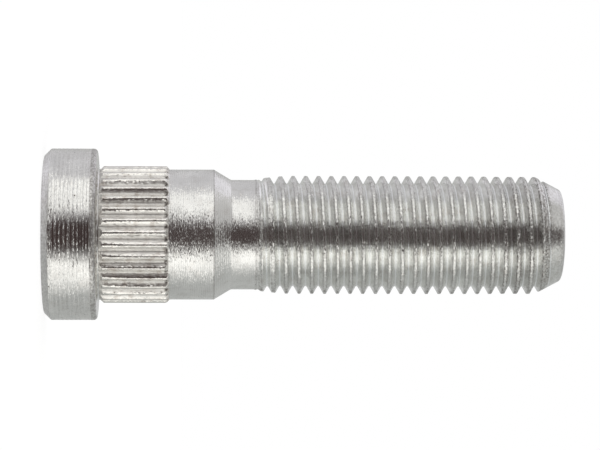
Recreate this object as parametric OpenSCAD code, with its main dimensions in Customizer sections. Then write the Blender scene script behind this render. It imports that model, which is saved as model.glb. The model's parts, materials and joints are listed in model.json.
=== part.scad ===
// Press-in wheel stud: a turned head, a straight knurl that bites into the hub flange,
// a plain shoulder, a reduced neck and a rolled right-hand thread with a chamfered tip.
// One solid piece of steel. It stands on its head: the axis is Z and the end face of
// the head lies on Z = 0. All sizes are in millimetres.

/* [Head] */
// Diameter of the head
head_d = 20.1; // [18.5:0.1:24]
// Thickness of the head
head_h = 6.2; // [4.5:0.1:9]
// Width of the 45 degree chamfer at the end face
head_chamfer_w = 0.7; // [0.3:0.05:1.2]
// Radius that softens both edges of that chamfer
head_edge_r = 0.25; // [0.1:0.05:0.4]
// Radius of the rounded edge at the bearing face
bearing_edge_r = 0.6; // [0.2:0.05:0.8]
// Radius of the fillet where the shank meets the bearing face
head_fillet_r = 0.45; // [0.2:0.05:0.6]
// Number of fine rings turned round the rim
rim_ring_count = 8; // [1:1:12]
// Depth of each ring
rim_ring_depth = 0.03; // [0.01:0.01:0.05]
// Plain strip on each side of the rings
rim_strip_w = 0.4; // [0.2:0.05:0.6]

/* [Knurl] */
// Diameter over the crests of the teeth
knurl_d = 16.1; // [15.8:0.05:17]
// Distance from the bearing face to the foot of the teeth
knurl_gap = 0.3; // [0.2:0.05:1]
// Length of the knurl, with its tapered ends
knurl_len = 8.4; // [4:0.1:12]
// Number of teeth
knurl_teeth = 35; // [24:1:48]
// Slope of a tooth's flanks from the round of the shank, in degrees
knurl_flank_angle = 35; // [25:1:45]
// Radius at the bottom of the valleys between the teeth
knurl_valley_r = 0.45; // [0.2:0.05:0.6]
// Width of the land left on each crest
knurl_land_w = 0.1; // [0.05:0.05:0.3]
// Angle round the axis of the first valley, in degrees
knurl_first_angle = 6.5; // [0:0.5:10]
// Taper of the tooth ends beside the head, in degrees from the axis
knurl_head_taper = 50; // [20:5:60]
// Taper of the tooth ends beside the shoulder, in degrees from the axis
knurl_shoulder_taper = 30; // [20:5:60]

/* [Shoulder and neck] */
// Diameter of the plain shoulder
shoulder_d = 15.26; // [14.6:0.02:15.6]
// Length of the plain shoulder
shoulder_len = 4.9; // [2:0.1:10]
// Radius that softens the edge between the shoulder and the cone
shoulder_edge_r = 0.4; // [0.1:0.1:1]
// Slope of the cone from the shoulder down to the neck, in degrees from the axis
cone_angle = 31; // [20:1:45]
// Diameter of the neck, which is also the diameter the thread is rolled from
neck_d = 12.86; // [12.4:0.02:13.2]
// Radius of the fillet between the cone and the neck
neck_fillet_r = 2.5; // [0.5:0.1:3]
// Length of the neck, from the foot of the cone to the start of the thread
neck_len = 3.2; // [2:0.1:8]

/* [Thread] */
// Diameter over the crests
thread_d = 13.88; // [13.4:0.02:14.4]
// Pitch of the right-hand thread
thread_pitch = 1.5; // [1.25:0.25:2]
// Length of the thread, from the neck to the tip
thread_len = 35.6; // [20:0.1:50]
// Angle between the two flanks of the groove, in degrees
thread_angle = 60; // [50:5:60]
// Length over which the thread rises from the neck to its full diameter
thread_rise = 1.6; // [0.5:0.1:3]
// Distance from the neck to the first turn of the groove, at its start
groove_gap = 0.1; // [0:0.05:1]
// Angle round the axis at which the groove starts, in degrees
groove_start_angle = 120; // [0:10:350]
// Part of a turn over which the groove reaches its full depth
runout_turns = 0.75; // [0.25:0.25:1.5]
// Flat facets of the groove in one turn
facets_per_turn = 36; // [24:4:40]

/* [Tip] */
// Slope of the chamfer at the tip, in degrees from the axis
tip_chamfer_angle = 27.5; // [20:0.5:45]
// Diameter of the end face, measured at its sharp corner
tip_face_d = 10.7; // [9:0.1:11.6]
// Radius of the rounded edge of the end face
tip_edge_r = 0.45; // [0.1:0.05:0.8]

/* [Hidden] */
$fn = 96;

head_r = head_d / 2;
knurl_r = knurl_d / 2;
shoulder_r = shoulder_d / 2;
neck_r = neck_d / 2;
thread_r = thread_d / 2;
tip_face_r = tip_face_d / 2;

// Stations along the axis, from the end face of the head to the tip
bearing_z = head_h;
knurl_z = bearing_z + knurl_gap;
shoulder_z = knurl_z + knurl_len;
cone_z = shoulder_z + shoulder_len;
neck_z = cone_z + (shoulder_r - neck_r) / tan(cone_angle);
thread_z = neck_z + neck_len;
tip_z = thread_z + thread_len;
chamfer_z = tip_z - (thread_r - tip_face_r) / tan(tip_chamfer_angle);

// Rings on the rim: shallow rounds that fill the band between the two plain strips,
// each as wide as its share of the pitch
rim_band_z = head_chamfer_w + rim_strip_w;
rim_band_w = bearing_z - bearing_edge_r - rim_strip_w - rim_band_z;
rim_ring_pitch = rim_band_w / rim_ring_count;
rim_ring_share = 0.7;
rim_ring_half_w = rim_ring_pitch * rim_ring_share / 2;
rim_ring_r = (pow(rim_ring_half_w, 2) + pow(rim_ring_depth, 2)) / (2 * rim_ring_depth);

// Knurl: each valley is a V with a round bottom, wide enough to leave the land. The V's
// sides cut the round at this share of its radius, so that they meet it at a clear angle.
valley_cut_share = 0.95;
knurl_pitch_angle = 360 / knurl_teeth;
valley_half_w = (knurl_r * knurl_pitch_angle * PI / 180 - knurl_land_w) / 2;
valley_point_r = knurl_r - valley_half_w * tan(knurl_flank_angle);
valley_cut_r = knurl_valley_r * valley_cut_share;
valley_centre_r = valley_point_r + valley_cut_r / cos(knurl_flank_angle);

// How far a valley's cut reaches out past the crests, and the teeth into the shank
valley_reach = 1;
knurl_sink = 0.2;

// Thread: the groove of a metric thread, with a crest of an eighth of the pitch and a
// depth of 17/24 of the sharp V's height, less what the round of the root takes
crest_w = thread_pitch / 8;
sharp_height = thread_pitch / 2 / tan(thread_angle / 2);
groove_depth = sharp_height * 17 / 24;
groove_mouth_w = thread_pitch - crest_w;
groove_root_w = groove_mouth_w - 2 * groove_depth * tan(thread_angle / 2);

// The groove's solid stands a little out of the crests, by less than half a crest, so
// that one turn of it never meets the next
mouth_spare = crest_w / 4 / tan(thread_angle / 2);
mouth_spare_w = crest_w / 2;

// The groove runs on until the chamfer of the tip lies wholly below its root
groove_first_z = thread_z + groove_gap;
groove_fade_len = (groove_depth + mouth_spare) / tan(tip_chamfer_angle);
groove_last_z = chamfer_z + groove_fade_len + thread_pitch / 2;
groove_turns = (groove_last_z - groove_first_z) / thread_pitch;
groove_rings = ceil(groove_turns * facets_per_turn);

// The sliver between a corner of an outline and the arc that rounds it. The outline
// comes in along +X, turns left by the given angle at the origin and goes on.
module corner_sliver(r, turn) {
    reach = r * tan(turn / 2);
    difference() {
        polygon([[-reach, 0], [0, 0], [reach * cos(turn), reach * sin(turn)]]);
        translate([-reach, r]) circle(r);
    }
}

// Half of the stud's section with sharp corners: X is the radius, Y the height
module sharp_section() {
    polygon([
        [0, 0],
        [head_r - head_chamfer_w, 0],
        [head_r, head_chamfer_w],
        [head_r, bearing_z],
        [shoulder_r, bearing_z],
        [shoulder_r, cone_z],
        [neck_r, neck_z],
        [neck_r, thread_z],
        [thread_r, thread_z + thread_rise],
        [thread_r, chamfer_z],
        [tip_face_r, tip_z],
        [0, tip_z]
    ]);
}

// Fillets that fill the section's inner corners
module section_fillets() {
    translate([shoulder_r, bearing_z])
        rotate(180)
            mirror([0, 1])
                corner_sliver(head_fillet_r, 90);
    translate([neck_r, neck_z])
        rotate(90 + cone_angle)
            mirror([0, 1])
                corner_sliver(neck_fillet_r, cone_angle);
}

// What the rounded edges take off the section's outer corners
module section_edges() {
    translate([head_r - head_chamfer_w, 0]) corner_sliver(head_edge_r, 45);
    translate([head_r, head_chamfer_w]) rotate(45) corner_sliver(head_edge_r, 45);
    translate([head_r, bearing_z]) rotate(90) corner_sliver(bearing_edge_r, 90);
    translate([shoulder_r, cone_z]) rotate(90) corner_sliver(shoulder_edge_r, cone_angle);
    translate([tip_face_r, tip_z])
        rotate(90 + tip_chamfer_angle)
            corner_sliver(tip_edge_r, 90 - tip_chamfer_angle);
}

// Fine rings that the turning tool leaves round the rim of the head
module rim_rings() {
    for (i = [0:1:rim_ring_count - 1])
        translate([head_r + rim_ring_r - rim_ring_depth, rim_band_z + (i + 0.5) * rim_ring_pitch])
            circle(rim_ring_r);
}

// The turned blank, from the head to the tip
module blank() {
    rotate_extrude()
        difference() {
            union() {
                sharp_section();
                section_fillets();
            }
            section_edges();
            rim_rings();
        }
}

// Outline of one valley between two teeth: a V with a round bottom
module knurl_valley() {
    foot_r = valley_centre_r - valley_cut_r * cos(knurl_flank_angle);
    foot_half_w = valley_cut_r * sin(knurl_flank_angle);
    mouth_half_w = foot_half_w + valley_reach / tan(knurl_flank_angle);
    translate([valley_centre_r, 0]) circle(knurl_valley_r);
    polygon([
        [foot_r, -foot_half_w],
        [foot_r + valley_reach, -mouth_half_w],
        [foot_r + valley_reach, mouth_half_w],
        [foot_r, foot_half_w]
    ]);
}

// The knurl: a ring of straight teeth whose ends taper down to the shank
module knurl() {
    root_r = shoulder_r - knurl_sink;
    head_taper_len = (knurl_r - root_r) / tan(knurl_head_taper);
    shoulder_taper_len = (knurl_r - root_r) / tan(knurl_shoulder_taper);
    head_sink_len = knurl_sink / tan(knurl_head_taper);
    shoulder_sink_len = knurl_sink / tan(knurl_shoulder_taper);
    low_z = knurl_z - head_sink_len;
    high_z = shoulder_z + shoulder_sink_len;
    intersection() {
        translate([0, 0, low_z])
            linear_extrude(high_z - low_z)
                difference() {
                    circle(knurl_r);
                    for (i = [0:1:knurl_teeth - 1])
                        rotate(knurl_first_angle + i * knurl_pitch_angle) knurl_valley();
                }
        rotate_extrude()
            polygon([
                [0, low_z],
                [root_r, low_z],
                [knurl_r, low_z + head_taper_len],
                [knurl_r, high_z - shoulder_taper_len],
                [root_r, high_z],
                [0, high_z]
            ]);
    }
}

// How far ring i of the groove stands out of its full depth: the groove fades in
function groove_lift(i) = groove_depth * max(0, 1 - i / (runout_turns * facets_per_turn));

// The four corners of ring i of the groove, from the root to the mouth and back
function groove_ring(i) = let (
    turn = i / facets_per_turn,
    angle = groove_start_angle + 360 * turn,
    z = groove_first_z + thread_pitch * turn,
    root = thread_r - groove_depth + groove_lift(i),
    mouth = thread_r + mouth_spare + groove_lift(i),
    root_half = groove_root_w / 2,
    mouth_half = (groove_mouth_w + mouth_spare_w) / 2
) [
    [root * cos(angle), root * sin(angle), z - root_half],
    [mouth * cos(angle), mouth * sin(angle), z - mouth_half],
    [mouth * cos(angle), mouth * sin(angle), z + mouth_half],
    [root * cos(angle), root * sin(angle), z + root_half]
];

// The helical groove that leaves the thread standing
module thread_groove() {
    corners = 4;
    points = [for (i = [0:groove_rings]) each groove_ring(i)];
    sides = [
        for (i = [0:groove_rings - 1])
            for (c = [0:corners - 1])
                let (
                    a = i * corners + c,
                    b = i * corners + (c + 1) % corners,
                    a_next = a + corners,
                    b_next = b + corners
                )
                each [[a, b, b_next], [a, b_next, a_next]]
    ];
    last = groove_rings * corners;
    ends = [[3, 2, 1], [3, 1, 0], [last, last + 1, last + 2], [last, last + 2, last + 3]];
    polyhedron(points, concat(sides, ends));
}

// The whole stud
module stud() {
    color([0.78, 0.78, 0.77])
        difference() {
            union() {
                blank();
                knurl();
            }
            thread_groove();
        }
}

stud();
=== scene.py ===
"""A zinc-plated wheel stud that stands on its head: turned from one bar, knurled and thread-rolled."""

import json
import math
import random

import bmesh
import bpy
from mathutils import Matrix, Vector


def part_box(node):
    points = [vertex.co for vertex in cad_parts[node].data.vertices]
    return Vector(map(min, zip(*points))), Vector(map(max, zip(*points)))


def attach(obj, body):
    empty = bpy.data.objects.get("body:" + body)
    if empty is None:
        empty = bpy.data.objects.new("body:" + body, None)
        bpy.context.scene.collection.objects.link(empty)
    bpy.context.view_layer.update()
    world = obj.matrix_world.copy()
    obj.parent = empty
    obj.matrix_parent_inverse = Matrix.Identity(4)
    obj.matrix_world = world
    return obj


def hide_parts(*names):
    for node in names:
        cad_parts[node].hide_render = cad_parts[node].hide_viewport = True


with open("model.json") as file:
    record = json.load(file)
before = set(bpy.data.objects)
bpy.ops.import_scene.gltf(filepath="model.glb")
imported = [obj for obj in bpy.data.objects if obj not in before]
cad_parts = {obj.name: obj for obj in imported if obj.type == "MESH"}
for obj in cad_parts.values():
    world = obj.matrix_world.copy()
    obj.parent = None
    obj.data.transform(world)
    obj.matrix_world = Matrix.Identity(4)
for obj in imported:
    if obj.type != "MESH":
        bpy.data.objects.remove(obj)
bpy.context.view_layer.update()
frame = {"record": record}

# Sizes, in metres. The driving ones come from the frame, and the rest are the finer ones of each form.
MM = 0.001
MERGE = 0.0005 * MM

stud_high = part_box("stud")[1]
mounts = {m["name"]: m for m in frame["record"]["mounts"]}


def mount_span(name):
    """Lowest height, highest height and radius of a round mount."""
    middle = mounts[name]["pos_m"][2]
    half = mounts[name]["dims"]["length_mm"] * MM / 2
    return middle - half, middle + half, mounts[name]["dims"]["r_mm"] * MM


# Head
HEAD_R = stud_high.x
TIP_Z = stud_high.z
BEARING_Z = mounts["bearing_face"]["pos_m"][2]
HEAD_CHAMFER = 0.82 * MM
HEAD_EDGE_R = 0.25 * MM
BEARING_EDGE_R = 0.43 * MM
HEAD_FILLET_R = 0.45 * MM
RIM_RING_HEIGHTS = [h * MM for h in (1.44, 1.95, 2.4, 2.93, 3.5, 3.99, 4.41, 4.69, 5.07, 5.38)]
RIM_RING_W = 0.26 * MM
RIM_RING_FLOOR = 0.2 * MM
RIM_RING_DEPTH = 0.007 * MM
DULL_STRIP = (5.57 * MM, 5.76 * MM)
DULL_STRIP_W = 0.3 * MM
END_FACE_SHARES = (0, 0.25, 0.5, 0.7, 0.85)

# Knurl
KNURL_Z, SHOULDER_Z, KNURL_R = mount_span("knurl")
TEETH = 35
TOOTH_FLANK = math.radians(39)
TOOTH_FLANK_SHARES = (0.15, 0.5, 0.85)
FIRST_VALLEY = math.radians(6.2)
VALLEY_R = 0.35 * MM
CREST_LAND_HALF = 0.02 * MM
CREST_EDGE_R = 0.25 * MM
LOW_TAPER = math.radians(50)
LOW_END_MARGIN = 0.1 * MM
LOW_END_SPREAD = (-0.2 * MM, -0.04 * MM)
LOW_END_EASE = 0.3 * MM
HIGH_TAPER = math.radians(52)
HIGH_END_GAP = 0.35 * MM
HIGH_END_MARGIN = 0.25 * MM
HIGH_END_SPREAD = (-0.1 * MM, 0.16 * MM)
TOOTH_SEED = 35
FILED_EASE = 0.06 * MM
POCKET_DEPTH = 0.07 * MM
POCKET_Z = SHOULDER_Z - 0.62 * MM
POCKET_HALF_LEN = 0.3 * MM
POCKET_EDGES = (0.1 * MM, 0.4 * MM)

# Shoulder, cone and neck
SHANK_R = mount_span("shoulder")[2]
THREAD_Z, _, THREAD_R = mount_span("thread")
CONE_SLOPE = math.radians(31)
NECK_R = 6.43 * MM
NECK_LEN = 3.2 * MM
NECK_Z = THREAD_Z - NECK_LEN
CONE_Z = NECK_Z - (SHANK_R - NECK_R) / math.tan(CONE_SLOPE)
SHOULDER_EDGE_R = 0.1 * MM
NECK_FILLET_R = 0.5 * MM
NECK_RIDGE = 0.05 * MM
NECK_RIDGE_BEFORE_THREAD = (0.5 * MM, 0.34 * MM, 0.24 * MM)
EDGE_DIRT_W = 0.12 * MM

# Thread
PITCH = 1.5 * MM
ROOT_AT_ZERO = 27.6 * MM
ROOT_R = 6.03 * MM
FLANK_SLOPE = math.radians(60)
THREAD_FLANK_SHARES = (0.35, 0.65, 0.85)
CREST_HALF_W = 0.14 * MM
CREST_ROUND_R = 0.1 * MM
FIRST_RISE = 0.22 * MM
FIRST_RISE_Z = THREAD_Z + 0.4 * MM
FULL_THREAD_Z = THREAD_Z + 3.2 * MM
FULL_THREAD_EASE = 0.1 * MM
BLANK_OVER = 0.02 * MM
GROOVE_EASE = 0.04 * MM
GROOVE_START_Z = THREAD_Z - 1.7 * MM
RUNOUT_TURNS = 1.96
FLAT_CREST_Z = 52.3 * MM
FLAT_CREST_DROP = 0.06 * MM
LAST_GROOVE_LIFT = 0.3 * MM
LAST_GROOVE = (TIP_Z - 2.9 * MM, TIP_Z - 1.6 * MM)
THREAD_FADE = (TIP_Z - 1.9 * MM, TIP_Z - 1.5 * MM)
TIP_SLOPE = math.radians(27.5)
TIP_FACE_R = 5.35 * MM
TIP_EDGE_R = 0.45 * MM
TIP_FACE_SHARES = (0.75, 0.5, 0.25, 0)

# The forms are made apart, this far from each other, and bridged
RING_GAP = 0.05 * MM
HEAD_FOOT_Z = KNURL_Z - RING_GAP
SHANK_TOP_Z = THREAD_Z - 2 * RING_GAP
THREAD_LOW_Z = THREAD_Z - RING_GAP
THREAD_HIGH_Z = TIP_Z - 0.65 * MM

# How finely the forms are divided
TURNED_COLUMNS = 240
THREAD_COLUMNS = 112
ROUND_STEP = math.radians(18)
SMALL_ROUND_STEPS = 3
KNURL_LOW_ROWS = 8
KNURL_MIDDLE_ROWS = 4
KNURL_HIGH_ROWS = 14
SHOULDER_ROWS = 5
ROUNDING = 1e-6

# Faces that meet at less than this are shaded as one
SMOOTH_ANGLE = math.radians(32)


# Modelling helpers


def deselect():
    """Leaves edit mode and selects nothing."""
    if bpy.context.object and bpy.context.object.mode != "OBJECT":
        bpy.ops.object.mode_set(mode="OBJECT")
    bpy.ops.object.select_all(action="DESELECT")


def edit(piece):
    """Opens one piece in edit mode with none of it selected."""
    deselect()
    piece.select_set(True)
    bpy.context.view_layer.objects.active = piece
    bpy.ops.object.mode_set(mode="EDIT")
    bpy.ops.mesh.select_all(action="DESELECT")


def chain(name, points):
    """A new piece in edit mode: one line of edges drawn from point to point."""
    deselect()
    bpy.ops.mesh.primitive_plane_add(size=MM)
    piece = bpy.context.object
    piece.name = name
    bpy.ops.object.mode_set(mode="EDIT")
    bpy.ops.mesh.select_all(action="SELECT")
    bpy.ops.mesh.merge(type="CENTER")
    bpy.ops.transform.translate(value=points[0])
    for start, end in zip(points, points[1:]):
        bpy.ops.mesh.extrude_region_move(TRANSFORM_OT_translate={"value": Vector(end) - Vector(start)})
    bpy.ops.mesh.select_all(action="SELECT")
    return piece


def arc(centre, radius, first, last):
    """Points (x, z) along an arc, from one angle to another, both in radians."""
    steps = max(2, math.ceil(abs(last - first) / ROUND_STEP - ROUNDING))
    angles = [first + (last - first) * i / steps for i in range(steps + 1)]
    return [(centre[0] + radius * math.cos(a), centre[1] + radius * math.sin(a)) for a in angles]


def rounded_corner(corner, before, turn, radius):
    """The arc that rounds a corner of an outline. before is the direction that the outline comes in by,
    and turn how far it turns to the left there, both in radians."""
    side = 1 if turn > 0 else -1
    reach = radius * math.tan(abs(turn) / 2)
    start = (corner[0] - reach * math.cos(before), corner[1] - reach * math.sin(before))
    inward = before + side * math.pi / 2
    centre = (start[0] + radius * math.cos(inward), start[1] + radius * math.sin(inward))
    first = inward + math.pi
    return arc(centre, radius, first, first + turn)


def turned(name, outline):
    """A turned form: its outline of (radius, height) points, spun once round the axis."""
    piece = chain(name, [(r, 0, z) for r, z in outline])
    bpy.ops.mesh.spin(steps=TURNED_COLUMNS, angle=2 * math.pi, center=(0, 0, 0), axis=(0, 0, 1))
    bpy.ops.mesh.select_all(action="SELECT")
    bpy.ops.mesh.remove_doubles(threshold=MERGE)
    bpy.ops.object.mode_set(mode="OBJECT")
    return piece


def polar(co):
    """Radius and angle of a point round the axis."""
    return math.hypot(co.x, co.y), math.atan2(co.y, co.x)


def set_radius(vert, radius):
    """Moves a vertex straight out or in to a radius."""
    scale = radius / math.hypot(vert.co.x, vert.co.y)
    vert.co.x *= scale
    vert.co.y *= scale


def smooth_step(low, high, value):
    """0 below low, 1 above high and an even S between them."""
    share = min(1, max(0, (value - low) / (high - low)))
    return share * share * (3 - 2 * share)


def soft_min(a, b, width):
    """The lesser of two values, eased where they are within width of each other."""
    blend = max(width - abs(a - b), 0) / width
    return min(a, b) - blend * blend * width / 4


def paint(piece, name, amount):
    """Records at each point of a piece how dirty, grainy or pale it is, or how much shade is painted on it.
    amount takes a radius, angle and height, and gives 0 for clean or smooth."""
    layer = piece.data.attributes.new(name, "FLOAT", "POINT")
    for vert in piece.data.vertices:
        layer.data[vert.index].value = amount(*polar(vert.co), vert.co.z)


def bridge(piece, heights):
    """Joins the open rings of a piece that lie at these two heights."""
    edit(piece)
    mesh = bmesh.from_edit_mesh(piece.data)
    for edge in mesh.edges:
        on_ring = any(all(abs(v.co.z - z) < MERGE for v in edge.verts) for z in heights)
        edge.select_set(edge.is_boundary and on_ring)
    bmesh.update_edit_mesh(piece.data)
    bpy.ops.mesh.bridge_edge_loops()
    bpy.ops.object.mode_set(mode="OBJECT")


# Head


def rim_rings():
    """Outline of the fine rings that the tool left round the rim, from the lowest up."""
    points = []
    for height in RIM_RING_HEIGHTS:
        points += [
            (HEAD_R, height - RIM_RING_W / 2),
            (HEAD_R - RIM_RING_DEPTH, height - RIM_RING_FLOOR / 2),
            (HEAD_R - RIM_RING_DEPTH, height + RIM_RING_FLOOR / 2),
            (HEAD_R, height + RIM_RING_W / 2),
        ]
    return points


def head_outline():
    """From the centre of the end face, round the rim and over the bearing face, to the foot of the knurl."""
    fillet_r = SHANK_R + HEAD_FILLET_R
    fillet_end = math.asin((BEARING_Z + HEAD_FILLET_R - HEAD_FOOT_Z) / HEAD_FILLET_R)
    return (
        [(HEAD_R * share, 0) for share in END_FACE_SHARES]
        + rounded_corner((HEAD_R - HEAD_CHAMFER, 0), 0, math.pi / 4, HEAD_EDGE_R)
        + rounded_corner((HEAD_R, HEAD_CHAMFER), math.pi / 4, math.pi / 4, HEAD_EDGE_R)
        + rim_rings()
        + [(HEAD_R, height) for height in DULL_STRIP]
        + rounded_corner((HEAD_R, BEARING_Z), math.pi / 2, math.pi / 2, BEARING_EDGE_R)
        + [((HEAD_R + SHANK_R) / 2, BEARING_Z)]
        + arc((fillet_r, BEARING_Z + HEAD_FILLET_R), HEAD_FILLET_R, -math.pi / 2, -math.pi + fillet_end)
    )


def in_rim_ring(radius, height):
    """Whether a point lies in one of the fine rings."""
    on_rim = RIM_RING_HEIGHTS[0] - RIM_RING_W < height < RIM_RING_HEIGHTS[-1] + RIM_RING_W
    return on_rim and radius < HEAD_R - RIM_RING_DEPTH / 2


# How dirty and how grainy the head is, and how much shade is painted on it, from 0, and so on for the other
# forms
# The rings are darkened both by dirt and by painted shade that stands in for the shadow in their grooves
RING_DIRT_AND_SHADE = 0.18
CHAMFER_GRIME = 0.25
DULL_STRIP_GRIME = 0.5
BEARING_GRAIN = 0.4
HEAD_GRAIN = 1.4


def head_grime_and_shade(radius, angle, height):
    """Dirt and painted shade in the rings, dirt on the chamfer, and dirt on the strip that the tool left
    dull, which runs from the last ring over the edge of the bearing face."""
    if in_rim_ring(radius, height):
        return RING_DIRT_AND_SHADE
    if height < HEAD_CHAMFER:
        return CHAMFER_GRIME
    on_strip = radius > HEAD_R - DULL_STRIP_W and height > DULL_STRIP[0] - MERGE
    return DULL_STRIP_GRIME if on_strip else 0


def head_grain(radius, angle, height):
    """The tool burnished its rings and the bearing face, so they have less grain than the rest."""
    if in_rim_ring(radius, height):
        return 0
    return BEARING_GRAIN if height > BEARING_Z - MERGE else HEAD_GRAIN


head = turned("head", head_outline())
paint(head, "grime", head_grime_and_shade)
paint(head, "grain", head_grain)


# Knurl


TOOTH_ANGLE = 2 * math.pi / TEETH
TOOTH_HALF_W = KNURL_R * TOOTH_ANGLE / 2


def tooth_outline():
    """Points (radius, angle) across one tooth, from the middle of one valley to that of the next."""
    turns = [TOOTH_FLANK * i / SMALL_ROUND_STEPS for i in range(SMALL_ROUND_STEPS + 1)]
    crest = [
        (
            KNURL_R - CREST_EDGE_R * (1 - math.cos(turn)),
            TOOTH_HALF_W - CREST_LAND_HALF - CREST_EDGE_R * math.sin(turn),
        )
        for turn in reversed(turns)
    ]
    foot_w = VALLEY_R * math.sin(TOOTH_FLANK)
    foot_r = crest[0][0] - (crest[0][1] - foot_w) * math.tan(TOOTH_FLANK)
    valley_floor = foot_r + VALLEY_R * math.cos(TOOTH_FLANK)
    valley = [(valley_floor - VALLEY_R * math.cos(turn), VALLEY_R * math.sin(turn)) for turn in turns]
    low, high = Vector(valley[-1]), Vector(crest[0])
    flank = [tuple(low.lerp(high, share)) for share in TOOTH_FLANK_SHARES]
    half = [(r, w / KNURL_R) for r, w in valley + flank + crest]
    other_half = [(r, TOOTH_ANGLE - a) for r, a in reversed(half)]
    return [(r, FIRST_VALLEY + a) for r, a in half + other_half]


def knurl_rows():
    """Heights of the knurl's rings, closer together where the tooth ends taper."""
    rise = KNURL_R - SHANK_R
    low_end = KNURL_Z + rise / math.tan(LOW_TAPER) + LOW_END_MARGIN
    high_start = SHOULDER_Z - HIGH_END_GAP - rise / math.tan(HIGH_TAPER) - HIGH_END_MARGIN
    stretches = (
        (KNURL_Z, low_end, KNURL_LOW_ROWS),
        (low_end, high_start, KNURL_MIDDLE_ROWS),
        (high_start, SHOULDER_Z, KNURL_HIGH_ROWS),
    )
    rows = [low + (high - low) * i / count for low, high, count in stretches for i in range(count)]
    return rows + [SHOULDER_Z]


def foot_radius(height):
    """Radius of the shank beside the head, where the fillet still widens it."""
    below = BEARING_Z + HEAD_FILLET_R - height
    if below <= 0:
        return SHANK_R
    return SHANK_R + HEAD_FILLET_R - math.sqrt(HEAD_FILLET_R**2 - below**2)


def knurled_band(name):
    """One tooth copied round the axis, drawn up ring by ring and filed down at both ends."""
    across = [(r * math.cos(a), r * math.sin(a), KNURL_Z) for r, a in tooth_outline()]
    piece = chain(name, across)
    bpy.ops.mesh.spin(steps=TEETH, dupli=True, angle=2 * math.pi, center=(0, 0, 0), axis=(0, 0, 1))
    bpy.ops.mesh.select_all(action="SELECT")
    bpy.ops.mesh.remove_doubles(threshold=MERGE)
    rows = knurl_rows()
    for low, high in zip(rows, rows[1:]):
        bpy.ops.mesh.extrude_region_move(TRANSFORM_OT_translate={"value": (0, 0, high - low)})
    file_tooth_ends(piece)
    bpy.ops.object.mode_set(mode="OBJECT")
    return piece


def file_tooth_ends(piece):
    """Tapers both ends of every tooth down to the shank, no two teeth quite alike."""
    chance = random.Random(TOOTH_SEED)
    low_shift = [chance.uniform(*LOW_END_SPREAD) for _ in range(TEETH)]
    high_shift = [chance.uniform(*HIGH_END_SPREAD) for _ in range(TEETH)]
    mesh = bmesh.from_edit_mesh(piece.data)
    for vert in mesh.verts:
        radius, angle = polar(vert.co)
        turn = (angle - FIRST_VALLEY) / TOOTH_ANGLE
        tooth = math.floor(turn) % TEETH
        from_valley = abs(turn - round(turn)) * 2 * TOOTH_HALF_W
        from_low = max(0, vert.co.z - KNURL_Z)
        from_high = SHOULDER_Z - HIGH_END_GAP - vert.co.z
        low_filed = from_low + low_shift[tooth] * smooth_step(0, LOW_END_EASE, from_low)
        low_limit = SHANK_R + low_filed * math.tan(LOW_TAPER)
        high_limit = SHANK_R + (from_high + high_shift[tooth]) * math.tan(HIGH_TAPER)
        filed = soft_min(min(radius, low_limit), high_limit, FILED_EASE)
        in_pocket = 1 - smooth_step(0, POCKET_HALF_LEN, abs(vert.co.z - POCKET_Z))
        in_pocket *= 1 - smooth_step(*POCKET_EDGES, from_valley)
        set_radius(vert, max(filed, foot_radius(vert.co.z)) - POCKET_DEPTH * in_pocket)
    bmesh.update_edit_mesh(piece.data)


# Painted shadow along the foot of the teeth, where they meet the head's fillet
FOOT_SHADOW = 0.2
FOOT_SHADOW_LEN = 0.12 * MM
# Painted shade in the pockets just past the high ends of the teeth
POCKET_SHADE = 0.8
POCKET_SHADE_HALF_LEN = 0.1 * MM
POCKET_SHADE_EDGES = (0.15 * MM, 0.5 * MM)
# Dirt and painted shade along the valleys between the teeth
VALLEY_DIRT_AND_SHADE = 0.1
VALLEY_DIRT_AND_SHADE_HALF_W = 0.3 * MM
# The crests of the teeth are made darker
CREST_DARKENING = 0.3
CREST_DARKENING_EDGES = (0.03 * MM, 0.1 * MM)
VALLEY_GRAIN = 1.2
CREST_SMOOTHNESS = 0.5
CREST_DEPTHS = (0.12 * MM, 0.01 * MM)


def knurl_grime_and_shade(radius, angle, height):
    """Painted shadow at the foot of the teeth, painted shade in the pockets past their ends, dirt and
    painted shade in the valleys, and darker crests.
    """
    turn = (angle - FIRST_VALLEY) / TOOTH_ANGLE
    from_valley = abs(turn - round(turn)) * 2 * TOOTH_HALF_W
    foot = 1 - smooth_step(0, FOOT_SHADOW_LEN, height - KNURL_Z)
    pocket = 1 - smooth_step(POCKET_SHADE_HALF_LEN, POCKET_HALF_LEN, abs(height - POCKET_Z))
    pocket *= 1 - smooth_step(*POCKET_SHADE_EDGES, from_valley)
    valley = 1 - smooth_step(0, VALLEY_DIRT_AND_SHADE_HALF_W, from_valley)
    crest = 1 - smooth_step(*CREST_DARKENING_EDGES, TOOTH_HALF_W - from_valley)
    return max(FOOT_SHADOW * foot, POCKET_SHADE * pocket, VALLEY_DIRT_AND_SHADE * valley, CREST_DARKENING * crest)


def knurl_grain(radius, angle, height):
    """The valleys are coarser than the crests."""
    on_crest = smooth_step(KNURL_R - CREST_DEPTHS[0], KNURL_R - CREST_DEPTHS[1], radius)
    return VALLEY_GRAIN - CREST_SMOOTHNESS * on_crest


knurl = knurled_band("knurl")
paint(knurl, "grime", knurl_grime_and_shade)
paint(knurl, "grain", knurl_grain)


# Shoulder, cone and neck


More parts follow.
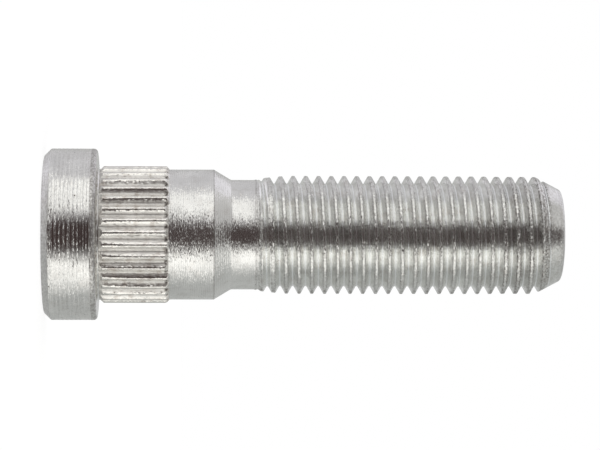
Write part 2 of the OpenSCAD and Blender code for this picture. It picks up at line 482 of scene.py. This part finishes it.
def shank_outline():
    """From the end of the knurl over the shoulder and the cone, down to the neck and up to the thread."""
    row_step = (CONE_Z - SHOULDER_Z) / SHOULDER_ROWS
    shoulder = [(SHANK_R, SHOULDER_Z + RING_GAP + row_step * i) for i in range(SHOULDER_ROWS)]
    edge = rounded_corner((SHANK_R, CONE_Z), math.pi / 2, CONE_SLOPE, SHOULDER_EDGE_R)
    dirt_low = (SHANK_R, CONE_Z - EDGE_DIRT_W)
    dirt_high = (SHANK_R - EDGE_DIRT_W * math.tan(CONE_SLOPE), CONE_Z + EDGE_DIRT_W)
    cone = rounded_corner((NECK_R, NECK_Z), math.pi / 2 + CONE_SLOPE, -CONE_SLOPE, NECK_FILLET_R)
    neck_middle = (NECK_R, NECK_Z + NECK_LEN / 2)
    foot, rise, fall = [THREAD_Z - before for before in NECK_RIDGE_BEFORE_THREAD]
    ridge = [
        (NECK_R, foot),
        (NECK_R + NECK_RIDGE, rise),
        (NECK_R + NECK_RIDGE, fall),
        (NECK_R, SHANK_TOP_Z),
    ]
    return shoulder + [dirt_low] + edge + [dirt_high] + cone + [neck_middle] + ridge


EDGE_GRIME = 0.5
EDGE_DIRT_CORE_W = 0.05 * MM
RIDGE_GRIME = 0.4
NECK_GRIME = 0.05
SHOULDER_GRAIN = 1.1
NECK_SMOOTHNESS = 0.3


def shank_grime(radius, angle, height):
    """Thin lines of dirt along the edge between shoulder and cone, and on the ridge before the thread."""
    if height < NECK_Z:
        return EDGE_GRIME * (1 - smooth_step(EDGE_DIRT_CORE_W, EDGE_DIRT_W, abs(height - CONE_Z)))
    return RIDGE_GRIME if radius > NECK_R + NECK_RIDGE / 2 else NECK_GRIME


def shank_grain(radius, angle, height):
    """The neck is smoother than the shoulder."""
    return SHOULDER_GRAIN - NECK_SMOOTHNESS * smooth_step(CONE_Z, NECK_Z, height)


shank = turned("shank", shank_outline())
paint(shank, "grime", shank_grime)
paint(shank, "grain", shank_grain)


# Thread


def groove_outline():
    """Points (radius, height from the lower root) of one pitch of the thread, from root to root."""
    flank_w = PITCH / 2 - CREST_HALF_W
    sharp_r = THREAD_R - flank_w * math.tan(FLANK_SLOPE)
    root_round_r = ROOT_R - sharp_r
    normal = math.pi / 2 - FLANK_SLOPE
    turns = [FLANK_SLOPE * i / SMALL_ROUND_STEPS for i in range(SMALL_ROUND_STEPS + 1)]
    root_centre = sharp_r + root_round_r / math.sin(normal)
    root = [(root_centre - root_round_r * math.cos(turn), root_round_r * math.sin(turn)) for turn in turns]
    crest_reach = CREST_ROUND_R * math.tan(FLANK_SLOPE / 2)
    crest_centre = (THREAD_R - CREST_ROUND_R, PITCH / 2 - CREST_HALF_W + crest_reach)
    crest = [
        (
            crest_centre[0] + CREST_ROUND_R * math.cos(turn),
            crest_centre[1] - CREST_ROUND_R * math.sin(turn),
        )
        for turn in reversed(turns)
    ]
    foot, top = Vector(root[-1]), Vector(crest[0])
    flank = [tuple(foot.lerp(top, share)) for share in THREAD_FLANK_SHARES]
    half = root + flank + crest
    return half + [(r, PITCH - z) for r, z in reversed(half)]


def blank_radius(height):
    """Radius of the rolled blank: neck, rise to the thread and chamfer of the tip."""
    first_rise = FIRST_RISE * smooth_step(THREAD_LOW_Z, FIRST_RISE_Z, height)
    share = max(0, height - FIRST_RISE_Z) / (FULL_THREAD_Z - FIRST_RISE_Z)
    rise = NECK_R + first_rise + (THREAD_R - NECK_R - FIRST_RISE) * share
    drop = FLAT_CREST_DROP * smooth_step(FLAT_CREST_Z - PITCH, FLAT_CREST_Z + PITCH, height)
    chamfer = TIP_FACE_R + (TIP_Z - height) * math.tan(TIP_SLOPE)
    return min(soft_min(THREAD_R + BLANK_OVER - drop, rise, FULL_THREAD_EASE), chamfer)


def from_root(angle, height):
    """How far above the nearest root of the thread a point lies."""
    phase = (height - ROOT_AT_ZERO) / PITCH - angle / (2 * math.pi)
    return (phase - round(phase)) * PITCH


def thread_radius(swept_r, angle, height):
    """Radius of a point of the finished thread, from the radius that the plain sweep gave it."""
    root_height = height - from_root(angle, height)
    turns = (root_height - GROOVE_START_Z) / PITCH
    lift = (THREAD_R - ROOT_R) * max(0, 1 - max(0, turns) / RUNOUT_TURNS)
    lift += LAST_GROOVE_LIFT * smooth_step(*LAST_GROOVE, root_height)
    return soft_min(swept_r + lift, blank_radius(height), GROOVE_EASE)


def cut_off(piece, height, above):
    """Cuts a piece level at a height and drops what lies above or below."""
    edit(piece)
    bpy.ops.mesh.select_all(action="SELECT")
    bpy.ops.mesh.bisect(
        plane_co=(0, 0, height),
        plane_no=(0, 0, 1),
        clear_outer=above,
        clear_inner=not above,
        threshold=MERGE / 10,
    )
    bpy.ops.object.mode_set(mode="OBJECT")


def rolled_thread(name, low, high):
    """One pitch of the thread, swept up the axis as a screw, cut level and run out at both ends."""
    first_root = ROOT_AT_ZERO - 3 * PITCH
    turns = math.ceil((high - first_root) / PITCH) + 1
    piece = chain(name, [(r, 0, first_root + z) for r, z in groove_outline()])
    bpy.ops.object.mode_set(mode="OBJECT")
    bpy.ops.object.modifier_add(type="SCREW")
    screw = piece.modifiers[-1]
    screw.screw_offset = PITCH
    screw.iterations = turns
    screw.steps = THREAD_COLUMNS
    screw.render_steps = THREAD_COLUMNS
    bpy.ops.object.modifier_apply(modifier=screw.name)
    edit(piece)
    bpy.ops.mesh.select_all(action="SELECT")
    bpy.ops.mesh.remove_doubles(threshold=MERGE)
    cut_off(piece, low, above=False)
    cut_off(piece, high, above=True)
    for vert in piece.data.vertices:
        radius, angle = polar(vert.co)
        set_radius(vert, thread_radius(radius, angle, vert.co.z))
    return piece


def from_crest(angle, height):
    """How far a point lies from the middle of the nearest crest, along the axis."""
    return PITCH / 2 - abs(from_root(angle, height))


# Late is the stretch of the last, flattened crests, and scuff the side that the stud lay on
LATE_CRESTS = (FLAT_CREST_Z - PITCH, FLAT_CREST_Z + 2 * PITCH)
# Painted shade in thin lines just past the edges of the crests, darker along the last crests
CREST_LINE_SHADE = 0.5
CREST_LINE_OFFSET = 0.04 * MM
CREST_LINE_EDGES = (0.02 * MM, 0.13 * MM)
LATE_LINE_SHADE = 0.35
CREST_TOP_GRIME = 0.65
LATE_GRIME = 0.2
SCUFF_GRIME = 0.75
SCUFF_SIDE = (0.85, 0.97)
SCUFF_EDGES = (0.1 * MM, 0.3 * MM)
TRACE_GRIME = 0.6
TRACE = (TIP_Z - 2.7 * MM, TIP_Z - 2.4 * MM)
THREAD_END_GRIME = 0.2
FLANK_GRAIN = 0.35
CREST_GRAIN = 0.4
LATE_GRAIN = 0.4


def on_thread(height):
    """1 along the thread and 0 on the bare chamfer past its last groove."""
    return 1 - smooth_step(*THREAD_FADE, height)


def thread_grime_and_shade(radius, angle, height):
    """Painted shade in lines beside the crests and broken dirt on them, heavier on the last ones and on the
    side that the stud lay on, and a trace of it where the last groove fades."""
    late = smooth_step(*LATE_CRESTS, height)
    off_crest = from_crest(angle, height)
    line = 1 - smooth_step(*CREST_LINE_EDGES, abs(off_crest - CREST_HALF_W - CREST_LINE_OFFSET))
    top = 1 - smooth_step(0, CREST_HALF_W, off_crest)
    scuff = smooth_step(*SCUFF_SIDE, math.cos(angle)) * (1 - smooth_step(*SCUFF_EDGES, off_crest))
    # The dirt together with the painted shade lines
    dirt = max(
        (CREST_LINE_SHADE + LATE_LINE_SHADE * late) * line,
        (CREST_TOP_GRIME + LATE_GRIME * late) * top,
        SCUFF_GRIME * scuff,
        TRACE_GRIME * smooth_step(*TRACE, height),
        LATE_GRIME * late,
    )
    return THREAD_END_GRIME + (dirt - THREAD_END_GRIME) * on_thread(height)


def thread_grain(radius, angle, height):
    """Smooth roots and flanks, coarse crests."""
    coarse = (CREST_GRAIN + LATE_GRAIN * smooth_step(*LATE_CRESTS, height)) * on_thread(height)
    on_crest = 1 - smooth_step(CREST_HALF_W, 3 * CREST_HALF_W, from_crest(angle, height))
    return FLANK_GRAIN + coarse * on_crest


BLOOM_EDGES = (0.02 * MM, 0.1 * MM)


def thread_bloom(radius, angle, height):
    """The pale bloom of the zinc along the roots."""
    return 1 - smooth_step(*BLOOM_EDGES, abs(from_root(angle, height)))


thread = rolled_thread("thread", THREAD_LOW_Z, THREAD_HIGH_Z)
paint(thread, "bloom", thread_bloom)
paint(thread, "grime", thread_grime_and_shade)
paint(thread, "grain", thread_grain)


# Tip


def tip_outline():
    """From the end of the thread up the chamfer and over the end face to its centre."""
    start_z = THREAD_HIGH_Z + RING_GAP
    start_r = TIP_FACE_R + (TIP_Z - start_z) * math.tan(TIP_SLOPE)
    edge = rounded_corner((TIP_FACE_R, TIP_Z), math.pi / 2 + TIP_SLOPE, math.pi / 2 - TIP_SLOPE, TIP_EDGE_R)
    face = [(TIP_FACE_R * share, TIP_Z) for share in TIP_FACE_SHARES]
    return [(start_r, start_z)] + edge + face


TIP_FACE_GRIME = 0.4
TIP_RIM_GRIME = 0.4
TIP_RIM_EDGES = (0.02 * MM, 0.12 * MM)
TIP_GRAIN = 0.7


def tip_grime(radius, angle, height):
    """A dull chamfer and end face, and dirt along the rim between them."""
    if radius < TIP_FACE_R - TIP_EDGE_R:
        return TIP_FACE_GRIME
    return THREAD_END_GRIME + TIP_RIM_GRIME * (1 - smooth_step(*TIP_RIM_EDGES, TIP_Z - height))


def tip_grain(radius, angle, height):
    """The tip is a little smoother than the shoulder."""
    return TIP_GRAIN


tip = turned("tip", tip_outline())
paint(tip, "grime", tip_grime)
paint(tip, "grain", tip_grain)


# One piece


def joined(name, parts):
    """Joins the forms into one piece, bridged ring to ring, with its faces outward."""
    deselect()
    for part in parts:
        part.select_set(True)
    bpy.context.view_layer.objects.active = parts[0]
    bpy.ops.object.join()
    piece = bpy.context.object
    piece.name = name
    piece.data.name = name
    bridge(piece, (HEAD_FOOT_Z, KNURL_Z))
    bridge(piece, (SHOULDER_Z, SHOULDER_Z + RING_GAP))
    bridge(piece, (SHANK_TOP_Z, THREAD_LOW_Z))
    bridge(piece, (THREAD_HIGH_Z, THREAD_HIGH_Z + RING_GAP))
    edit(piece)
    bpy.ops.mesh.select_all(action="SELECT")
    bpy.ops.mesh.normals_make_consistent(inside=False)
    bpy.ops.object.mode_set(mode="OBJECT")
    bpy.ops.object.shade_smooth_by_angle(angle=SMOOTH_ANGLE)
    return piece


stud = joined("wheel_stud", [head, knurl, shank, thread, tip])


# Materials


def node(tree, kind, links=None, **settings):
    """Adds a node, sets its properties and input values, and links its inputs."""
    made = tree.nodes.new(kind)
    for key, value in settings.items():
        setattr(made, key, value)
    for key, value in (links or {}).items():
        if isinstance(value, bpy.types.NodeSocket):
            tree.links.new(value, made.inputs[key])
        else:
            made.inputs[key].default_value = value
    return made


def math_node(tree, operation, first, second=0.0, clamp=False):
    """A Math node's result."""
    made = node(tree, "ShaderNodeMath", {0: first, 1: second}, operation=operation, use_clamp=clamp)
    return made.outputs[0]


def mix_colour(tree, factor, first, second):
    """Goes from the first colour to the second as factor goes from 0 to 1."""
    colours = {"Factor": factor, 6: first, 7: second}
    return node(tree, "ShaderNodeMix", colours, data_type="RGBA").outputs[2]


def ramp(tree, value, low, high, bottom=0.0, top=1.0):
    """Eases from bottom to top while a value goes from low to high."""
    made = node(
        tree,
        "ShaderNodeMapRange",
        {"Value": value, "From Min": low, "From Max": high, "To Min": bottom, "To Max": top},
        interpolation_type="SMOOTHSTEP",
    )
    return made.outputs["Result"]


def vector_node(tree, operation, first, second):
    """A Vector Math node with two vectors."""
    return node(tree, "ShaderNodeVectorMath", {0: first, 1: second}, operation=operation)


def rough_noise(tree, place, scale, detail):
    """Noise at a place, finer with scale and more broken with detail."""
    made = node(tree, "ShaderNodeTexNoise", {"Vector": place, "Scale": scale, "Detail": detail})
    return made.outputs["Fac"]


def axis_distance(tree, place):
    """How far a place is from the axis."""
    flat = vector_node(tree, "MULTIPLY", place, (1, 1, 0)).outputs[0]
    return node(tree, "ShaderNodeVectorMath", {0: flat}, operation="LENGTH").outputs["Value"]


def new_group(name, inputs, outputs):
    """An empty node group with its inputs and outputs, and its two end nodes."""
    group = bpy.data.node_groups.new(name, "ShaderNodeTree")
    for socket, value in inputs.items():
        kind = "NodeSocketColor" if isinstance(value, tuple) else "NodeSocketFloat"
        group.interface.new_socket(socket, in_out="INPUT", socket_type=kind).default_value = value
    for socket, kind in outputs.items():
        group.interface.new_socket(socket, in_out="OUTPUT", socket_type=kind)
    return group, node(group, "NodeGroupInput"), node(group, "NodeGroupOutput")


# Before it is cubed, a crystal's lean is at most a half, so its cube is at most an eighth
CUBED_LEAN_TO_ONE = 8.0
PIT_SCALE = 0.8
PIT_EDGES = (0.3, 0.22)


def plating_grain():
    """The crystals of the zinc: facets that lean a little, a few of them far, and the small pits between
    them. Around and Along say how fine they are round the stud and along it, and Lean how far they lean."""
    group, given, result = new_group(
        "plating_grain",
        {"Around": 5000.0, "Along": 5000.0, "Lean": 0.4},
        {"Normal": "NodeSocketVector", "Pits": "NodeSocketFloat", "Coarse": "NodeSocketFloat"},
    )
    place = node(group, "ShaderNodeTexCoord").outputs["Object"]
    parts = node(group, "ShaderNodeSeparateXYZ", {0: place}).outputs
    back = math_node(group, "MULTIPLY", parts["Y"], -1.0)
    round_way = math_node(group, "MULTIPLY", math_node(group, "ARCTAN2", parts["X"], back), NECK_R)
    unrolled = node(
        group,
        "ShaderNodeCombineXYZ",
        {
            0: math_node(group, "MULTIPLY", round_way, given.outputs["Around"]),
            1: math_node(group, "MULTIPLY", parts["Z"], given.outputs["Along"]),
            2: math_node(group, "MULTIPLY", axis_distance(group, place), given.outputs["Along"]),
        },
    ).outputs[0]
    crystals = node(group, "ShaderNodeTexVoronoi", {"Vector": unrolled, "Scale": 1.0}).outputs["Color"]
    lean = vector_node(group, "SUBTRACT", crystals, (0.5, 0.5, 0.5)).outputs[0]
    squared = vector_node(group, "MULTIPLY", lean, lean).outputs[0]
    cubed = vector_node(group, "MULTIPLY", squared, lean).outputs[0]
    coarse = node(group, "ShaderNodeAttribute", attribute_name="grain").outputs["Fac"]
    strength = math_node(group, "MULTIPLY", coarse, given.outputs["Lean"])
    strength = math_node(group, "MULTIPLY", strength, CUBED_LEAN_TO_ONE)
    leaning = node(group, "ShaderNodeVectorMath", {0: cubed, "Scale": strength}, operation="SCALE")
    surface = node(group, "ShaderNodeNewGeometry").outputs["Normal"]
    tilted = vector_node(group, "ADD", surface, leaning.outputs[0]).outputs[0]
    facing = node(group, "ShaderNodeVectorMath", {0: tilted}, operation="NORMALIZE").outputs[0]
    group.links.new(facing, result.inputs["Normal"])
    group.links.new(coarse, result.inputs["Coarse"])
    pits = ramp(group, rough_noise(group, unrolled, PIT_SCALE, 1.0), *PIT_EDGES)
    group.links.new(pits, result.inputs["Pits"])
    return group


LINE_WANDER_SCALE = 700.0
LINE_WANDER = 1.4
LINE_FADE_SCALE = 420.0
LINE_FADE_EDGES = (0.35, 0.65)
FAINTEST_LINE = 0.35
LINE_EDGES = (0.1, 0.9)


def turning_lines():
    """The lines that a lathe tool leaves round the axis, a little uneven in depth and spacing."""
    group, given, result = new_group(
        "turning_lines",
        {"Lines per metre": 4700.0},
        {"Relief": "NodeSocketFloat", "Line": "NodeSocketFloat"},
    )
    place = node(group, "ShaderNodeTexCoord").outputs["Object"]
    wander = rough_noise(group, place, LINE_WANDER_SCALE, 1.0)
    height = node(group, "ShaderNodeSeparateXYZ", {0: place}).outputs["Z"]
    turn = math_node(group, "MULTIPLY", height, given.outputs["Lines per metre"])
    turn = math_node(group, "ADD", turn, math_node(group, "MULTIPLY", wander, LINE_WANDER))
    wave = math_node(group, "SINE", math_node(group, "MULTIPLY", turn, 2 * math.pi))
    patches = rough_noise(group, place, LINE_FADE_SCALE, 1.0)
    fade = ramp(group, patches, *LINE_FADE_EDGES, FAINTEST_LINE)
    relief = math_node(group, "MULTIPLY", wave, fade)
    group.links.new(relief, result.inputs["Relief"])
    group.links.new(ramp(group, relief, *LINE_EDGES), result.inputs["Line"])
    return group


CLOUD_SCALE = 380.0
CLOUD_EDGES = (0.35, 0.65)
CLOUD_LEVELS = (0.93, 1.05)
STAIN_SCALE = 900.0
STAIN_EDGES = (0.5, 0.72)
DIRT_PATCH_SCALE = 3800.0
DIRT_PATCH_EDGES = (0.4, 0.6)
THINNEST_DIRT = 0.3
NICK_R = 0.13 * MM
NICK_GRIME = 0.8
NICKS = [
    Vector(centre) * MM
    for centre in (
        (-4.46, -9.01, 3.87),
        (5.97, -8.08, 0.9),
        (-5.9, -2.56, 25.7),
        (-5.43, -3.44, 25.55),
        (-4.93, -4.24, 37.43),
        (-2.95, -5.8, 37.42),
        (-2.55, -6.0, 37.48),
    )
]


def tarnish():
    """How the plate changes colour from place to place: faint clouds, brown stain, dirt and painted shade
    where the piece records them, and a few dark nicks."""
    group, given, result = new_group(
        "tarnish",
        {
            "Plate": (0.6, 0.6, 0.6, 1.0),
            "Stain": (0.3, 0.22, 0.17, 1.0),
            "Stained": 0.2,
            "Dirt": (0.08, 0.06, 0.05, 1.0),
        },
        {"Color": "NodeSocketColor", "Dirty": "NodeSocketFloat"},
    )
    place = node(group, "ShaderNodeTexCoord").outputs["Object"]
    clouds = ramp(group, rough_noise(group, place, CLOUD_SCALE, 3.0), *CLOUD_EDGES, *CLOUD_LEVELS)
    shaded = {0: given.outputs["Plate"], "Scale": clouds}
    cloudy = node(group, "ShaderNodeVectorMath", shaded, operation="SCALE").outputs[0]
    stain = ramp(group, rough_noise(group, place, STAIN_SCALE, 4.0), *STAIN_EDGES)
    stain = math_node(group, "MULTIPLY", stain, given.outputs["Stained"])
    stained = mix_colour(group, stain, cloudy, given.outputs["Stain"])
    # What the piece records as dirt and as painted shade, broken into patches
    grime = node(group, "ShaderNodeAttribute", attribute_name="grime").outputs["Fac"]
    patches = rough_noise(group, place, DIRT_PATCH_SCALE, 3.0)
    dirty = math_node(group, "MULTIPLY", grime, ramp(group, patches, *DIRT_PATCH_EDGES, THINNEST_DIRT))
    for centre in NICKS:
        away = vector_node(group, "DISTANCE", place, centre).outputs["Value"]
        nick = ramp(group, away, NICK_R, NICK_R / 2, 0.0, NICK_GRIME)
        dirty = math_node(group, "MAXIMUM", dirty, nick)
    # Lays the Dirt colour down both as dirt and as painted shade
    group.links.new(mix_colour(group, dirty, stained, given.outputs["Dirt"]), result.inputs["Color"])
    group.links.new(dirty, result.inputs["Dirty"])
    return group


GRAIN = plating_grain()
LINES = turning_lines()
TARNISH_AND_SHADE = tarnish()

PIT_COLOUR = (0.12, 0.1, 0.09, 1)
PIT_DARKNESS = 0.4
LINE_DARKNESS = 0.11
BLOOM_COLOUR = (0.86, 0.88, 0.89, 1)
BLOOM_HAZE = 0.3
HAZY_GRAIN = 0.3
DIRT_ROUGHNESS = 0.3
HOLLOW_ROUGHNESS = 0.25
GRAIN_ROUGHNESS = 0.12
COARSEST_GRAIN = 1.3


def zinc_material(name, colour, roughness, haze, grain, stained, lines=None, hollows=None):
    """Bright zinc plate with a thin white haze. grain is how fine its crystals are round and along the stud
    and how far they lean, lines how deep the turning lines are, and hollows the two radii between which the
    surface goes from rough to burnished."""
    material = bpy.data.materials.new(name)
    material.use_nodes = True
    tree = material.node_tree
    shader = tree.nodes["Principled BSDF"]
    crystals = node(tree, "ShaderNodeGroup", node_tree=GRAIN)
    for socket, value in zip(("Around", "Along", "Lean"), grain):
        crystals.inputs[socket].default_value = value
    coarse = crystals.outputs["Coarse"]
    finish = node(tree, "ShaderNodeGroup", node_tree=TARNISH_AND_SHADE)
    finish.inputs["Plate"].default_value = (*colour, 1)
    finish.inputs["Stained"].default_value = stained
    dark = math_node(tree, "MULTIPLY", crystals.outputs["Pits"], PIT_DARKNESS)
    normal = crystals.outputs["Normal"]
    if lines:
        tool_lines = node(tree, "ShaderNodeGroup", node_tree=LINES)
        line_dark = math_node(tree, "MULTIPLY", tool_lines.outputs["Line"], LINE_DARKNESS)
        line_dark = math_node(tree, "MULTIPLY", line_dark, coarse)
        dark = math_node(tree, "ADD", dark, line_dark, clamp=True)
        relief = math_node(tree, "MULTIPLY", tool_lines.outputs["Relief"], coarse)
        bump = {"Height": relief, "Distance": lines, "Normal": normal}
        normal = node(tree, "ShaderNodeBump", bump).outputs["Normal"]
    tree.links.new(normal, shader.inputs["Normal"])
    plate = mix_colour(tree, dark, finish.outputs["Color"], PIT_COLOUR)
    bloom = node(tree, "ShaderNodeAttribute", attribute_name="bloom").outputs["Fac"]
    tree.links.new(mix_colour(tree, bloom, plate, BLOOM_COLOUR), shader.inputs["Base Color"])
    hazy = math_node(tree, "MULTIPLY", ramp(tree, coarse, 0.0, HAZY_GRAIN), haze)
    pale = math_node(tree, "MAXIMUM", math_node(tree, "MULTIPLY", bloom, BLOOM_HAZE), hazy)
    tree.links.new(math_node(tree, "SUBTRACT", 1.0, pale), shader.inputs["Metallic"])
    past_plain = math_node(tree, "SUBTRACT", math_node(tree, "MINIMUM", coarse, COARSEST_GRAIN), 1.0)
    spread = math_node(tree, "MULTIPLY", finish.outputs["Dirty"], DIRT_ROUGHNESS)
    spread = math_node(tree, "ADD", spread, math_node(tree, "MULTIPLY", past_plain, GRAIN_ROUGHNESS))
    if hollows:
        place = node(tree, "ShaderNodeTexCoord").outputs["Object"]
        deep = ramp(tree, axis_distance(tree, place), hollows[1], hollows[0], 0.0, HOLLOW_ROUGHNESS)
        spread = math_node(tree, "ADD", spread, deep)
    tree.links.new(math_node(tree, "ADD", spread, roughness, clamp=True), shader.inputs["Roughness"])
    return material


turned_zinc = zinc_material(
    "zinc_turned",
    colour=(0.76, 0.76, 0.75),
    roughness=0.22,
    haze=0.045,
    grain=(6000.0, 15000.0, 0.17),
    stained=0.1,
    lines=0.005 * MM,
)
knurled_zinc = zinc_material(
    "zinc_knurled",
    colour=(0.84, 0.825, 0.795),
    roughness=0.22,
    haze=0.04,
    grain=(12000.0, 5000.0, 0.2),
    stained=0.4,
    hollows=(KNURL_R - 0.35 * MM, KNURL_R - 0.1 * MM),
)
rolled_zinc = zinc_material(
    "zinc_rolled",
    colour=(0.8, 0.805, 0.79),
    roughness=0.2,
    haze=0.085,
    grain=(5000.0, 12000.0, 0.26),
    stained=0.2,
)


def finish_faces(piece):
    """Gives each stretch of the stud the finish that its making left."""
    for material in (turned_zinc, knurled_zinc, rolled_zinc):
        piece.data.materials.append(material)
    for face in piece.data.polygons:
        height = face.center.z
        if KNURL_Z < height < SHOULDER_Z - HIGH_END_GAP:
            face.material_index = 1
        elif THREAD_Z < height < THREAD_HIGH_Z:
            face.material_index = 2
        else:
            face.material_index = 0


stud.data.materials.clear()
finish_faces(stud)
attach(stud, "root")
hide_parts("stud")


# Studio

# Angles go round the axis from straight in front, plus towards the top of the picture, or up from level
STAND = (0.062, 0.044, 0.042)
STAND_EDGES = (math.radians(-13), math.radians(12))
STAND_TOP = (math.radians(58), math.radians(86))
HIGH_LIGHT = (1.3, 1.29, 1.25)
HIGH_SOFTBOX = (math.radians(16), math.radians(39), math.radians(73), math.radians(87))
HIGH_TOP = (math.radians(9), math.radians(22))
LOW_LIGHT = (1.42, 1.405, 1.35)
LOW_SOFTBOX = (math.radians(15), math.radians(44), math.radians(50), math.radians(96))
LOW_TOP = (math.radians(30), math.radians(74))
HIGH_WALL = (0.74, 0.73, 0.745)
DEEP_WALL = (0.56, 0.56, 0.55)
DEEP_WALL_EDGES = (math.radians(138), math.radians(165))
FRONT_CEILING = (0.68, 0.67, 0.66)
BACK_CEILING = (1.02, 1.0, 1.05)
CEILING_EDGES = (-0.12, -0.25)
CEILING_FOOT = (math.radians(12), math.radians(30))
LOW_WALL = (0.53, 0.54, 0.525)
WALL_EDGES = (-0.6, 0.6)
FLOOR_SIZE = 6
FLOOR_PAPER = (0.3, 0.3, 0.3, 1)
FLOOR_GLOW = (0.83, 0.83, 0.83, 1)


def softbox(tree, angle, elevation, edges, top):
    """How much of a softbox shows in a direction. edges are where its light starts, is full, wanes and ends,
    and top where it starts to fade upward and has gone."""
    starts = ramp(tree, angle, edges[0], edges[1])
    ends = ramp(tree, angle, edges[3], edges[2])
    level = ramp(tree, elevation, top[1], top[0])
    return math_node(tree, "MULTIPLY", math_node(tree, "MULTIPLY", starts, ends), level)


def light_studio():
    """A round pale studio with a softbox on each side of a dark camera stand."""
    world = bpy.data.worlds.new("studio")
    bpy.context.scene.world = world
    world.use_nodes = True
    tree = world.node_tree
    tree.nodes.clear()
    direction = node(tree, "ShaderNodeTexCoord").outputs["Generated"]
    parts = node(tree, "ShaderNodeSeparateXYZ", {0: direction})
    side = math_node(tree, "MULTIPLY", parts.outputs["X"], -1.0)
    front = math_node(tree, "MULTIPLY", parts.outputs["Y"], -1.0)
    angle = math_node(tree, "ARCTAN2", side, front)
    other_angle = math_node(tree, "MULTIPLY", angle, -1.0)
    elevation = math_node(tree, "ABSOLUTE", math_node(tree, "ARCSINE", parts.outputs["Z"]))
    ceiling = mix_colour(tree, ramp(tree, front, *CEILING_EDGES), (*FRONT_CEILING, 1), (*BACK_CEILING, 1))
    overhead = ramp(tree, elevation, *CEILING_FOOT)
    far_wall = mix_colour(tree, ramp(tree, angle, *DEEP_WALL_EDGES), (*HIGH_WALL, 1), (*DEEP_WALL, 1))
    high_wall = mix_colour(tree, overhead, far_wall, ceiling)
    walls = mix_colour(tree, ramp(tree, side, *WALL_EDGES), (*LOW_WALL, 1), high_wall)
    high_box = softbox(tree, angle, elevation, HIGH_SOFTBOX, HIGH_TOP)
    boxes = mix_colour(tree, high_box, walls, (*HIGH_LIGHT, 1))
    low_box = softbox(tree, other_angle, elevation, LOW_SOFTBOX, LOW_TOP)
    boxes = mix_colour(tree, low_box, boxes, (*LOW_LIGHT, 1))
    stand = math_node(
        tree,
        "MULTIPLY",
        ramp(tree, angle, HIGH_SOFTBOX[1], STAND_EDGES[1]),
        ramp(tree, other_angle, LOW_SOFTBOX[1], -STAND_EDGES[0]),
    )
    stand = math_node(tree, "MULTIPLY", stand, ramp(tree, elevation, STAND_TOP[1], STAND_TOP[0]))
    around = mix_colour(tree, stand, boxes, (*STAND, 1))
    seen = node(tree, "ShaderNodeLightPath").outputs["Is Camera Ray"]
    colour = mix_colour(tree, seen, around, (1, 1, 1, 1))
    background = node(tree, "ShaderNodeBackground", {"Color": colour, "Strength": 1.0})
    output = node(tree, "ShaderNodeOutputWorld")
    tree.links.new(background.outputs[0], output.inputs["Surface"])


def lay_floor():
    """A plain white floor that keeps the stud's soft shadow, and that the plate doesn't mirror."""
    deselect()
    bpy.ops.mesh.primitive_plane_add(size=FLOOR_SIZE, location=(0, 0, 0))
    floor = bpy.context.object
    floor.name = "floor"
    material = bpy.data.materials.new("floor")
    material.use_nodes = True
    tree = material.node_tree
    tree.nodes.clear()
    path = node(tree, "ShaderNodeLightPath").outputs
    paper = node(tree, "ShaderNodeBsdfDiffuse", {"Color": FLOOR_PAPER}).outputs[0]
    lit = {"Color": FLOOR_GLOW, "Strength": path["Is Camera Ray"]}
    glow = node(tree, "ShaderNodeEmission", lit).outputs[0]
    seen = node(tree, "ShaderNodeAddShader", {0: paper, 1: glow}).outputs[0]
    clear = node(tree, "ShaderNodeBsdfTransparent").outputs[0]
    mixed = node(tree, "ShaderNodeMixShader", {0: path["Is Glossy Ray"], 1: seen, 2: clear}).outputs[0]
    output = node(tree, "ShaderNodeOutputMaterial")
    tree.links.new(mixed, output.inputs["Surface"])
    floor.data.materials.append(material)


IMAGE_W = 600
PIXELS_PER_METRE = 8497
SENSOR_W = 36
CAMERA_PLACE = Vector((-1.16 * MM, -308 * MM, 17.46 * MM))
CAMERA_AIM = Vector((-1.16 * MM, 0, 29.94 * MM))
CAMERA_ROLL = math.radians(0.16)
IMAGE_UP = Vector((-1, 0, 0))


def place_camera():
    """The photograph's view: the stud from 308 mm away, a little above the floor, turned on its side."""
    sight = CAMERA_AIM - CAMERA_PLACE
    forward = sight.normalized()
    up = (IMAGE_UP - forward * forward.dot(IMAGE_UP)).normalized()
    right = forward.cross(up)
    turn = Matrix.Rotation(-CAMERA_ROLL, 3, forward)
    up, right = turn @ up, turn @ right
    data = bpy.data.cameras.new("camera")
    camera = bpy.data.objects.new("camera", data)
    bpy.context.scene.collection.objects.link(camera)
    data.sensor_width = SENSOR_W
    data.lens = PIXELS_PER_METRE * sight.length / IMAGE_W * SENSOR_W
    axes = Matrix((right, up, -forward)).transposed()
    camera.matrix_world = Matrix.Translation(CAMERA_PLACE) @ axes.to_4x4()
    bpy.context.scene.camera = camera


light_studio()
lay_floor()
place_camera()
bpy.context.scene.view_settings.view_transform = "Standard"
